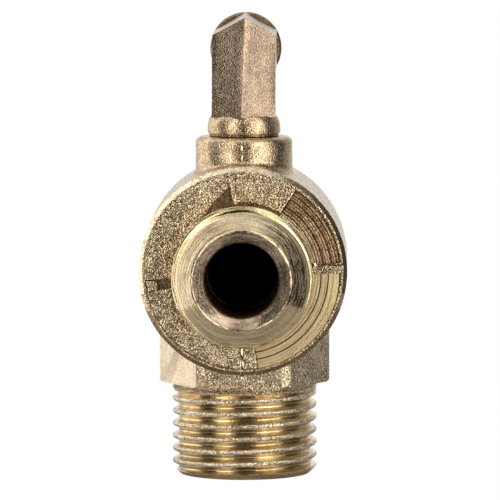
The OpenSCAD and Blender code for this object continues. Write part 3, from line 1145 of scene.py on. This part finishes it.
@dataclass
class ForgedBody:
    """The body's forging: barrel, wrench hexagon, neck, and the flash line round them."""

    paints: Paints
    hollows: Hollows = field(default_factory=Hollows)
    barrel_r: float = 14.9
    barrel_front: float = -13.0
    barrel_rear: float = 13.0
    rim_chamfer: float = 0.68
    rim_inner_r: float = 14.03
    face_floor: float = -12.35
    face_r: float = 13.86
    hex_corner_r: float = 12.3
    hex_full_r: float = 12.702
    hex_foot: float = 13.3
    hex_top: float = 29.0
    neck_r: float = 7.0
    neck_top: float = 48.9
    neck_round: float = 1.0
    neck_fillet: float = 0.7
    neck_base: float = 42.5
    neck_band: float = 46.6

    def barrel(self) -> Workpiece:
        """Builds the barrel, with its thin front rim, and cuts its hollows.

        Returns:
            The barrel.
        """
        r, front, rear, c = self.barrel_r, self.barrel_front, self.barrel_rear, self.rim_chamfer
        outline = [
            (0.0, self.face_floor), (self.face_r, self.face_floor),
            (self.face_r + 0.09, front + 0.08), (self.rim_inner_r, front + 0.01), (r - c, front),
            (r - c + 0.1, front + 0.03), (r - 0.1, front + c - 0.04), (r - 0.02, front + c + 0.05),
            (r - 0.02, front + 1.5), (r - 0.09, front + 1.58), (r - 0.09, front + 1.72),
            (r - 0.01, front + 1.8), (r, -8.0), (r, -4.0), (r, 0.0), (r, 4.0), (r, 8.0),
            (r, rear - c - 0.05), (r - 0.05, rear - c), (r - c, rear - 0.04), (r - c - 0.1, rear),
            (0.0, rear),
        ]
        part = Workpiece("barrel").turn(Spindle.BARREL, outline, closed=False)
        part.weather(0.05, 3.0, 4.0)
        part.move_points(self.hold)
        part.cut_with(self.hollows.chamber(), self.hollows.inlet(), self.hollows.stem())
        away = Spindle.BARREL.radius
        part.paint(self.paints(Finish.FORGED))
        # The face floor between the raised stretches is painted dark: painted shade in the
        # recesses.
        recess_r = self.face_r + 0.11
        part.paint(self.paints(Finish.GRIME), lambda p: p.y < -12.0 and away(p) < recess_r)
        # The upper part of the rim is painted lighter: painted highlight.
        part.paint(
            self.paints(Finish.RIM), lambda p: p.y < front + 0.9 and away(p) > 14.4 and p.z > 27.0
        )
        # A band on the lower rim's chamfer is painted dark: painted shade.
        return part.paint(
            self.paints(Finish.GRIME),
            lambda p: front + 0.25 < p.y < front + 0.8 and away(p) > 14.5 and p.z < 25.0,
        )

    def hold(self, point: Vector) -> Vector:
        """Holds a barrel point inside the barrel's true size.

        Args:
            point: a point of the barrel.

        Returns:
            Its new place.
        """
        most = self.barrel_r - 0.01
        held = Spindle.BARREL.shift(point, most) if Spindle.BARREL.radius(point) > most else point
        held.y = max(self.barrel_front, held.y)
        return held

    def face(self) -> list[Workpiece]:
        """Builds the front face's stretches, which stand at different depths.

        Returns:
            The stretches.
        """
        sectors = [
            FaceSector(
                "face_upper_left", 97.5, 182.6, 9.0, 14.6, -12.92, rounding=0.12, pinch=0.68,
                pinch_deg=44.0,
            ),
            FaceSector(
                "face_top", 57, 98, 9.85, 13.98, -13.0, spindle=Spindle.BARREL, rounding=0.16
            ),
            FaceSector("face_lower_left_0", 183.5, 190, 12.2, 13.8, -12.78),
            FaceSector("face_lower_left_1", 190, 279, 9.0, 13.8, -12.82),
            FaceSector("face_right_ramp", 1.0, 7.5, 9.0, 14.2, -12.98, rounding=0.2),
            FaceSector(
                "face_lower_right", -80.5, 1.5, 9.0, 13.75, -12.88, 0.52, 0.24, land_slope=0.3,
                finish=Finish.FACED,
            ),
            # The upper right face takes the darker copy of the faced brass: painted shade.
            FaceSector(
                "face_upper_right", 7, 58, 9.0, 14.3, -12.85, 0.4, 0.2, tilt=0.05,
                land_slope=-0.28, finish=Finish.FACED_DARK,
            ),
        ]
        parts = []
        for sector in sectors:
            part = sector.build().paint(self.paints(sector.finish))
            # Each stretch's walls and groove floors, behind its front, are painted dark: painted
            # shade.
            wall_y = sector.front_y + (0.09 if sector.groove_pitch else 0.16)
            parts.append(part.paint(self.paints(Finish.GRIME), lambda p: p.y > wall_y))
        return parts

    def hexagon(self) -> Workpiece:
        """Builds the wrench hexagon with its corners turned down.

        Returns:
            The hexagon.
        """
        r, foot, top = self.hex_corner_r, self.hex_foot, self.hex_top
        blank = Workpiece("hex_blank").turn(
            Spindle.STEM, [(0.0, foot), (r - 0.28, foot), (r, foot + 0.28), (r, top), (0.0, top)],
            closed=False,
        )
        part = Workpiece("hexagon").prism(
            6, self.hex_full_r, Vector((0, 0, foot)), 30.0, top - foot
        )
        part.keep_inside(blank)
        part.cut_with(self.hollows.chamber(), self.hollows.inlet())
        part.bevel(0.1, over_deg=20.0)
        part.paint(self.paints(Finish.FORGED))
        # The left flats are painted paler and evener: painted light on that side.
        return part.paint(self.paints(Finish.FLAT), lambda p: p.x < -6.6 and p.z > foot + 0.3)

    def neck(self) -> Workpiece:
        """Builds the neck, with a fillet that follows the barrel round its foot.

        Returns:
            The neck.
        """
        r, top, fillet = self.neck_r, self.neck_top, self.neck_fillet
        inner, rows = self.hollows.stem_r, 6
        turns = [math.radians(90 * (rows - k) / rows) for k in range(rows + 1)]
        foot = [(r + fillet * (1 - math.cos(t)), 0.5 * k) for k, t in enumerate(turns)]
        outline = [
            (inner, self.neck_base), (r - 1.2, self.neck_base), *foot, (r, self.neck_band),
            (r, self.neck_band + 0.6),
            *arc((r - self.neck_round, top - self.neck_round), self.neck_round, 0, 90, 8),
            (inner + 0.4, top), (inner, top - 0.4),
        ]
        part = Workpiece("neck").turn(Spindle.STEM, outline)

        def settle(point: Vector) -> Vector:
            """Puts a foot point on the barrel, at its place on the fillet.

            Args:
                point: a point of the piece.

            Returns:
                Its new place.
            """
            if point.z > BARREL_Z:
                return point
            share = min(1.0, max(0.0, (Spindle.STEM.radius(point) - r) / fillet))
            lift = fillet * (1 - math.sin(math.acos(1 - share)))
            on_barrel = BARREL_Z + math.sqrt(self.barrel_r**2 - point.x**2)
            return Vector((point.x, point.y, on_barrel + lift - 0.05))

        part.move_points(settle)
        part.weather(0.05, 1.6, 9.0)
        return part.paint(self.paints(Finish.NECK))

    def flash(self) -> list[Workpiece]:
        """Builds the thin ridges that the forging dies left in the middle plane.

        Returns:
            The ridges.
        """
        # The ridges take the rim's lighter brass: a painted highlight along them.
        ridge_highlight = self.paints(Finish.RIM)
        runs = [
            ("flash_face_low", Vector((0.42, 0.24, 5.0)), Vector((-0.1, -12.9, 17.9))),
            ("flash_face_high", Vector((0.3, 0.2, 4.4)), Vector((-0.95, -13.0, 42.2))),
            ("flash_face_right", Vector((4.2, 0.2, 0.3)), Vector((11.9, -12.99, 31.3))),
            ("flash_neck", Vector((0.34, 0.24, 3.0)), Vector((-0.2, -7.0, 46.4))),
            ("flash_hexagon", Vector((0.3, 0.2, 1.9)), Vector((-0.1, -11.02, 14.4))),
        ]
        parts = []
        for number, (name, size, centre) in enumerate(runs):
            part = Workpiece(name).bar(size, centre).divide(9)
            part.weather(0.22, 0.7, number + 2.0)
            parts.append(part.bevel(0.03, over_deg=50.0, segments=1).paint(ridge_highlight))
        return parts

    def build(self) -> None:
        """Builds the forging as one finished piece that stands for the CAD body."""
        whole = self.barrel()
        whole.join(*self.face(), self.hexagon(), self.neck(), *self.flash())
        whole.name = "body_forging"
        whole.thing.name = whole.name
        made = whole.finish("housing", "forged_brass", smooth_deg=32.0)
        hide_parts("valve_body")


@dataclass
class Nozzle:
    """The outlet: M20 thread, cone with a sharp lip, countersink and bore."""

    paints: Paints
    bore_r: float = 5.3
    lip_r: float = 7.0
    cone_foot_r: float = 9.08
    tip_y: float = -22.5
    back_y: float = -9.15
    root_y: float = -13.6
    root_r: float = 8.95
    shank_r: float = 8.8
    thread_end_y: float = -20.4
    thread: ScrewThread = ScrewThread(
        major_r=9.98, depth=0.92, pitch=1.5, length=6.8, chamfer=1.5, runout=0.9, chamfer_slope=0.6
    )

    def core(self) -> Workpiece:
        """Builds the turned core inside the thread.

        Returns:
            The core.
        """
        lip, tip = self.lip_r, self.tip_y
        foot = tip + self.cone_foot_r - lip
        steps = [2.0 * i / 12 for i in range(13)]
        cone = [(lip + 0.07 + step, tip + 0.06 + step) for step in steps]
        sink = []
        for i in range(8):
            r = self.bore_r + 0.12 + 1.5 * i / 8
            y = tip + lip - r
            sink += [(r, y), (r + 0.12, y - 0.15)]
        outline = [
            (self.bore_r, self.back_y), (self.bore_r, -15.0),
            (self.bore_r, tip + lip - self.bore_r + 0.05), *sink, (lip - 0.08, tip + 0.07),
            (lip, tip), *cone, (self.cone_foot_r, foot + 0.02),
            (self.cone_foot_r + 0.02, foot + 0.15), (self.root_r, foot + 0.3),
            (self.root_r, self.root_y), (self.shank_r, self.root_y + 0.2),
            (self.shank_r, self.back_y),
        ]
        part = Workpiece("nozzle").turn(Spindle.OUTLET, outline)

        def nick(point: Vector) -> Vector:
            """Makes the sharp lip slightly ragged.

            Args:
                point: a point of the piece.

            Returns:
                Its new place.
            """
            near = max(0.0, 1 - abs(point.y - tip) / 0.12)
            if near == 0.0 or Spindle.OUTLET.radius(point) > lip + 0.3:
                return point
            dent = 0.09 * noise.noise(point * 1.7) + 0.05 * noise.noise(point * 5.0)
            return point + Vector((0, max(0.0, 0.05 + dent) * near, 0))

        part.move_points(nick)
        away = Spindle.OUTLET.radius
        part.paint(self.paints(Finish.NOZZLE))
        # The countersink is painted darker than the cone: painted shade.
        part.paint(self.paints(Finish.SINK), lambda p: away(p) < lip - 0.1 and p.y < tip + 1.9)
        # The bore is painted near-black: painted shade.
        return part.paint(
            self.paints(Finish.BORE), lambda p: away(p) < self.bore_r + 0.04 and p.y > tip + 1.8
        )

    def build(self) -> None:
        """Builds the nozzle as one finished piece."""
        sleeve = self.thread.build("nozzle_thread").paint(self.paints(Finish.NOZZLE_THREAD))
        out = Matrix.Translation(Spindle.OUTLET.place(0.0, self.thread_end_y))
        turn = Matrix.Rotation(math.radians(-90), 4, "X")
        sleeve.move_points(lambda p: out @ turn @ p)
        whole = self.core().join(sleeve)
        whole.finish("housing", "forged_brass", smooth_deg=28.0)


@dataclass
class InletStub:
    """The threaded inlet below the hexagon."""

    paints: Paints
    bore_r: float = 6.0
    core_r: float = 9.2
    top: float = 13.5
    torn: float = 0.24
    thread: ScrewThread = ScrewThread(
        major_r=10.4775, depth=0.98, pitch=1.814, length=12.45, chamfer=1.1, runout=1.3
    )

    def core(self) -> Workpiece:
        """Builds the tube inside the thread, with its faced end.

        Returns:
            The tube.
        """
        outline = [
            (self.bore_r + 0.35, 0.0), (self.core_r + 0.1, 0.0), (self.core_r + 0.12, 0.05),
            (self.core_r, 0.6), (self.core_r, self.top), (self.bore_r, self.top),
            (self.bore_r, 7.0), (self.bore_r, 0.35),
        ]
        part = Workpiece("inlet_stub").turn(Spindle.STEM, outline)
        # The bore is painted near-black: painted shade.
        return part.paint(self.paints(Finish.THREAD)).paint(
            self.paints(Finish.BORE), lambda p: Spindle.STEM.radius(p) < self.bore_r + 0.05
        )

    def collar(self) -> Workpiece:
        """Builds the ragged ring where the thread runs out under the hexagon.

        Returns:
            The ring.
        """
        outline = [
            (9.0, 12.1), (10.1, 12.15), (10.38, 12.35), (10.45, 12.55), (10.3, 12.75),
            (10.05, 12.9), (10.1, 13.1), (10.3, 13.32), (9.0, 13.4),
        ]
        part = Workpiece("runout_ring").turn(Spindle.STEM, outline)
        part.weather(0.2, 0.5, 3.0)
        return part.paint(self.paints(Finish.CREST))

    def sleeve(self) -> Workpiece:
        """Builds the thread, its torn crests in a finish of their own.

        Returns:
            The thread's sleeve.
        """
        part = self.thread.build("inlet_thread")
        crest, away = self.thread.major_r - self.torn, Spindle.STEM.radius

        def tear(point: Vector) -> Vector:
            """Makes the crests ragged.

            Args:
                point: a point of the piece.

            Returns:
                Its new place.
            """
            radius = away(point)
            if radius < crest:
                return point
            rough = 0.1 * abs(noise.noise(point * 1.9)) + 0.08 * abs(noise.noise(point * 4.3))
            return Spindle.STEM.shift(point, radius - rough)

        part.move_points(tear)
        return part.paint(self.paints(Finish.THREAD)).paint(
            self.paints(Finish.CREST), lambda p: away(p) > crest - 0.02
        )

    def build(self) -> None:
        """Builds the stub as one finished piece."""
        whole = self.core().join(self.sleeve(), self.collar())
        whole.finish("housing", "forged_brass", smooth_deg=40.0)


@dataclass
class LeverHandle:
    """The lever: hexagonal bar bent at a right angle, collar, shoulder and grip."""

    paints: Paints
    corner_r: float = 5.254
    collar_foot: float = 49.2
    post_foot: float = 52.0
    arm_end: float = 15.0
    shoulder_end: float = 17.0
    grip_end: float = 34.0
    grip_r: float = 4.2
    socket_side: float = 5.0
    socket_top: float = 57.5
    screw_r: float = 1.5
    top_z: float = 66.15
    blank_height: float = 22.0
    lean_low: float = -0.3
    lean_high: float = 0.26

    def bar(self) -> Workpiece:
        """Builds the bent hexagon: post, mitre and arm.

        Returns:
            The bar.
        """
        foot = Vector((0, 0, self.post_foot - 0.3))
        part = Workpiece("lever").prism(6, self.corner_r, foot, 0.0, self.blank_height)
        mitre = Vector((0, 1, 1)).normalized()
        part.slice(Vector((0, 0, ARM_Z)), mitre)
        part.pull(mitre, Vector((0, self.arm_end + 2 * self.corner_r, 0)))
        part.slice(Vector((0, self.arm_end, 0)), Vector((0, 1, 0)))
        part.cut_with(self.socket(), self.screw_hole())
        part.bevel(0.13, over_deg=25.0)
        part.divide(4)

        def lean(point: Vector) -> Vector:
            """Leans the post's front corner, which the forging die left a little off.

            Args:
                point: a point of the piece.

            Returns:
                Its new place.
            """
            front = max(0.0, -point.y / self.corner_r - 0.35) / 0.65
            share = (point.z - self.post_foot) / (self.top_z - self.post_foot)
            shift = self.lean_low + (self.lean_high - self.lean_low) * share
            return point + Vector((shift * front, 0, 0))

        part.move_points(lean)
        return part.weather(0.07, 1.7, 1.0)

    def socket(self) -> Workpiece:
        """Builds what cuts the square socket over the stem.

        Returns:
            The tool.
        """
        low, high = self.collar_foot - 1.0, self.socket_top
        size = Vector((self.socket_side, self.socket_side, high - low))
        return Workpiece("socket_tool").bar(size, Vector((0, 0, (low + high) / 2)))

    def screw_hole(self) -> Workpiece:
        """Builds what cuts the grub screw's hole at the back of the post.

        Returns:
            The tool.
        """
        r, depth = self.screw_r, self.corner_r + 1.0
        outline = [(0.0, 1.0), (r, 1.0), (r, depth), (0.0, depth)]
        return Workpiece("screw_tool").turn(Spindle.SCREW, outline, closed=False, steps=32)

    def collar(self) -> Workpiece:
        """Builds the round collar at the lever's foot.

        Returns:
            The collar.
        """
        r, foot, top = self.corner_r, self.collar_foot, self.post_foot
        outline = [
            (0.0, foot), (r - 0.35, foot), (r - 0.1, foot + 0.1), (r, foot + 0.35),
            (r, foot + 0.9), (r - 0.02, foot + 1.3), (r - 0.1, foot + 1.75),
            (r - 0.25, foot + 2.2), (r - 0.5, foot + 2.6), (r - 0.9, top), (0.0, top),
        ]
        part = Workpiece("collar").turn(Spindle.STEM, outline, closed=False)
        return part.cut_with(self.socket()).weather(0.04, 1.1, 7.0)

    def gap_shade_ring(self) -> Workpiece:
        """Builds the dark ring that fills the gap above the neck: painted shade in the gap.

        Returns:
            The ring.
        """
        low, high = self.collar_foot - 0.27, self.collar_foot + 0.1
        outline = [(3.7, low), (4.9, low), (5.0, low + 0.1), (5.0, high), (3.7, high)]
        return Workpiece("gap_shade_ring").turn(Spindle.STEM, outline)

    def grip(self) -> Workpiece:
        """Builds the round shoulder and the tapered grip behind the hexagon.

        Returns:
            The grip.
        """
        r, end = self.corner_r, self.grip_r
        first, last = self.shoulder_end, self.grip_end - end
        taper = [
            (r - 0.1 + (end - r + 0.1) * i / 10, first + 0.15 + (last - first - 0.15) * i / 10)
            for i in range(11)
        ]
        outline = [
            (0.0, self.arm_end - 0.6), (r - 1.3, self.arm_end - 0.1),
            (r - 0.3, self.arm_end - 0.02), (r - 0.02, self.arm_end + 0.25),
            (r, self.arm_end + 0.5), (r, first - 0.2), *taper,
            *arc((0.0, last), end, 8, 90, 10)[:-1], (0.0, self.grip_end),
        ]
        return Workpiece("grip").turn(Spindle.ARM, outline, closed=False).weather(0.05, 2.2, 5.0)

    def build(self) -> None:
        """Builds the lever as one finished piece that stands for its CAD node."""
        whole = self.bar()
        whole.join(self.grip())
        # The shoulder's front face and the ring in the gap are painted dark: painted shade.
        shade_paint = self.paints(Finish.GRIME)
        whole.paint(self.paints(Finish.LEVER)).paint(shade_paint, self.shaded_by_arm)
        whole.join(self.collar().paint(self.paints(Finish.NECK)), self.gap_shade_ring().paint(shade_paint))
        whole.move_points(lambda p: Vector((p.x, min(p.y, self.grip_end), min(p.z, self.top_z))))
        made = whole.finish("turning_set", "lever_brass", smooth_deg=30.0)
        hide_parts("lever")

    def shaded_by_arm(self, point: Vector) -> bool:
        """Returns whether a point lies on the shoulder's front face, which is painted shade behind
        the arm.
        """
        near = -0.09 < point.y - self.arm_end < 0.5
        return near and Spindle.ARM.radius(point) > self.corner_r - 1.3


@dataclass
class EndPlug:
    """The screwed plug at the back: nose, flange and hexagonal head."""

    paints: Paints
    nose_r: float = 9.3
    flange_r: float = 10.98
    pocket_r: float = 8.0
    nose_y: float = 5.8
    pocket_y: float = 9.1
    step_y: float = 9.4
    head_foot: float = 13.0
    head_end: float = 17.5
    head_corner_r: float = 11.547

    def core(self) -> Workpiece:
        """Builds the turned part inside the barrel, with the rear seat's pocket.

        Returns:
            The turned part.
        """
        outline = [
            (0.0, self.pocket_y), (self.pocket_r, self.pocket_y), (self.pocket_r, self.nose_y),
            (self.nose_r, self.nose_y), (self.nose_r, self.step_y), (self.flange_r, self.step_y),
            (self.flange_r, self.head_foot + 0.05), (0.0, self.head_foot + 0.05),
        ]
        return Workpiece("end_plug_body").turn(Spindle.OUTLET, outline, closed=False)

    def head(self) -> Workpiece:
        """Builds the head: a chamfered hexagon with a turned dish in its end.

        Returns:
            The head.
        """
        r, foot, end = self.head_corner_r, self.head_foot, self.head_end
        outline = [
            (0.0, foot), (r - 0.9, foot), (r, foot + 0.5), (r, end - 0.62), (r - 1.2, end),
            (8.6, end), (8.45, end - 0.12), (8.3, end - 0.25), (2.2, end - 0.25), (1.6, end - 0.4),
            (0.0, end - 0.75),
        ]
        blank = Workpiece("plug_blank").turn(Spindle.STEM, outline, closed=False)
        part = Workpiece("plug_head").prism(6, r, Vector((0, 0, foot)), 0.0, end - foot)
        part.keep_inside(blank)
        part.bevel(0.12, over_deg=25.0)
        return part.move_points(lambda p: Vector((p.x, p.z, OUTLET_Z - p.y)))

    def build(self) -> None:
        """Builds the plug as one finished piece that stands for its CAD node."""
        whole = self.core()
        whole.join(self.head())
        whole.paint(self.paints(Finish.PLUG))
        made = whole.finish("housing", "plug_brass", smooth_deg=30.0)
        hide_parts("end_plug")


CAD_FINISHES = {
    "ball": Finish.CHROME, "front_seat": Finish.WET_SEAL, "rear_seat": Finish.SEAL,
    "front_seat_ring": Finish.RUBBER, "rear_seat_ring": Finish.RUBBER, "end_plug": Finish.PLUG,
    "plug_ring": Finish.RUBBER, "stem": Finish.STEM, "thrust_washer": Finish.SEAL,
    "lower_stem_ring": Finish.RUBBER, "upper_stem_ring": Finish.RUBBER,
    "lever_screw": Finish.STEEL, "valve_body": Finish.FORGED, "lever": Finish.LEVER,
}


def dress_cad_nodes(paints: Paints) -> None:
    """Gives every CAD node its finish.

    Args:
        paints: the materials.
    """
    for name, finish in CAD_FINISHES.items():
        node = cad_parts[name]
        for held in node.material_slots:
            held.material = paints(finish)
        LOG.info("%s: %s", name, finish.value.name)


# ---- The studio ----


def direction(around_deg: float, lift_deg: float) -> Vector:
    """Returns a unit vector that points away from the valve's front.

    Args:
        around_deg: how far to the right of the front.
        lift_deg: how high.

    Returns:
        The vector.
    """
    around, lift = math.radians(around_deg), math.radians(lift_deg)
    level = math.cos(lift)
    return Vector((math.sin(around) * level, -math.cos(around) * level, math.sin(lift)))


@dataclass
class Studio:
    """Floor, soft light and camera."""

    target: Vector = field(default_factory=lambda: Vector((0, 0, 0.033)))
    distance: float = 0.715
    yaw_deg: float = 1.14
    elevation_deg: float = 4.88
    roll_deg: float = 0.13
    lens: float = 355.5
    shift: tuple[float, float] = (0.0114, -0.0094)
    lamp_distance: float = 0.9
    floor_side: float = 0.1

    def hang(
        self, name: str, data: bpy.types.ID, away: Vector, roll_deg: float = 0.0
    ) -> bpy.types.Object:
        """Hangs a lamp or the camera so that it looks at the valve.

        Args:
            name: the object's name.
            data: its lamp or camera.
            away: where it hangs, from the target.
            roll_deg: how far it leans over.

        Returns:
            The object.
        """
        thing = bpy.data.objects.new(name, data)
        bpy.context.scene.collection.objects.link(thing)
        thing.location = self.target + away
        look = (-away).to_track_quat("-Z", "Y").to_matrix().to_4x4()
        look = look @ Matrix.Rotation(math.radians(-roll_deg), 4, "Z")
        thing.rotation_euler = look.to_euler()
        return thing

    def camera(self) -> None:
        """Places the camera."""
        data = bpy.data.cameras.new("camera")
        data.lens = self.lens
        data.sensor_width = 36.0
        data.shift_x, data.shift_y = self.shift
        data.dof.use_dof = False
        data.clip_start, data.clip_end = 0.01, 20.0
        away = direction(self.yaw_deg, self.elevation_deg) * self.distance
        bpy.context.scene.camera = self.hang("camera", data, away, self.roll_deg)

    def lamp(self, name: str, away: Vector, size: float, power: float) -> None:
        """Hangs one soft lamp.

        Args:
            name: the lamp's name.
            away: the way that it hangs from the valve.
            size: width of its square.
            power: its power in watts.
        """
        data = bpy.data.lights.new(name, "AREA")
        data.shape = "SQUARE"
        data.size = size
        data.energy = power
        self.hang(name, data, away * self.lamp_distance)

    def floor(self) -> None:
        """Lays the pale floor, which the camera sees as the backdrop's white."""
        clear_bench()
        bpy.ops.mesh.primitive_plane_add(size=self.floor_side, location=(0, 0, -0.00002))
        ground = bpy.context.object
        ground.name = "floor"
        made = bpy.data.materials.new("pale_floor")
        w = empty_tree(made)
        sheet = w.add("BsdfPrincipled", {"Base Color": (0.5, 0.49, 0.48, 1.0), "Roughness": 0.45})
        glow = w.add("Emission", {"Color": (1.0, 1.0, 1.0, 1.0), "Strength": 1.04})
        share = w.times(w.add("LightPath").outputs["Is Camera Ray"], 0.96)
        mixed = w.add("MixShader", {0: share, 1: sheet.outputs[0], 2: glow.outputs[0]})
        w.add("OutputMaterial", {"Surface": mixed.outputs[0]})
        ground.data.materials.append(made)
        ground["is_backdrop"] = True

    def surroundings(self) -> None:
        """Surrounds the bench with soft light: bright panels left and right, dim between."""
        world = bpy.data.worlds.new("studio")
        bpy.context.scene.world = world
        w = empty_tree(world)
        way = w.add("SeparateXYZ", {0: w.add("TexCoord").outputs["Generated"]}).outputs
        around = w.sum_of("ARCTAN2", way["X"], w.times(way["Y"], -1.0))
        ramp = w.add("ValToRGB", {0: w.plus(w.sum_of("DIVIDE", around, TAU), 0.5)})
        bar = ramp.color_ramp
        bar.interpolation = "EASE"
        levels = [
            (-180, 1.0), (-150, 0.7), (-134, 1.5), (-89, 1.6), (-83, 0.04), (-54, 0.02),
            (-46, 2.6), (-27, 2.6), (-21, 0.02), (20, 0.02), (27, 2.7), (60, 2.0), (68, 1.0),
            (75, 0.02), (108, 0.03), (118, 0.4), (134, 0.5), (156, 0.8), (180, 1.0),
        ]
        while len(bar.elements) < len(levels):
            bar.elements.new(0.5)
        for stop, (angle, level) in zip(bar.elements, levels):
            stop.position = (angle + 180) / 360
            stop.color = (level, level * 0.985, level * 0.96, 1.0)
        high = w.spread(way["Z"], 0.86, 0.99)
        sky = w.blend(high, ramp.outputs[0], (0.95, 0.95, 0.95, 1.0))
        lit = w.add("Background", {"Color": sky, "Strength": 1.0})
        white = w.add("Background", {"Color": (1.0, 1.0, 1.0, 1.0), "Strength": 1.0})
        seen = w.add("LightPath").outputs["Is Camera Ray"]
        mixed = w.add("MixShader", {0: seen, 1: lit.outputs[0], 2: white.outputs[0]})
        w.add("OutputWorld", {"Surface": mixed.outputs[0]})

    def build(self) -> None:
        """Sets the whole studio up."""
        bpy.context.scene.view_settings.view_transform = "Standard"
        self.floor()
        self.surroundings()
        self.lamp("left_softbox", direction(-30, 28), 0.22, 0.16)
        self.lamp("right_softbox", direction(42, 30), 0.34, 0.3)
        self.camera()


def main() -> None:
    """Builds the valve and its studio, and logs how far its corners are off the CAD model's."""
    logging.basicConfig(level=logging.INFO, format="%(message)s", force=True)
    cad_low, cad_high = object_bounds()
    clear_bench()
    paints = Paints()
    dress_cad_nodes(paints)
    ForgedBody(paints).build()
    Nozzle(paints).build()
    InletStub(paints).build()
    LeverHandle(paints).build()
    EndPlug(paints).build()
    Studio().build()
    low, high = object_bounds()
    for corner, one, other in (("low", low, cad_low), ("high", high, cad_high)):
        gaps = [round((a - b) / MM, 3) for a, b in zip(one, other)]
        LOG.info("%s corner is off by %s mm", corner, gaps)


if __name__ == "__main__":
    main()
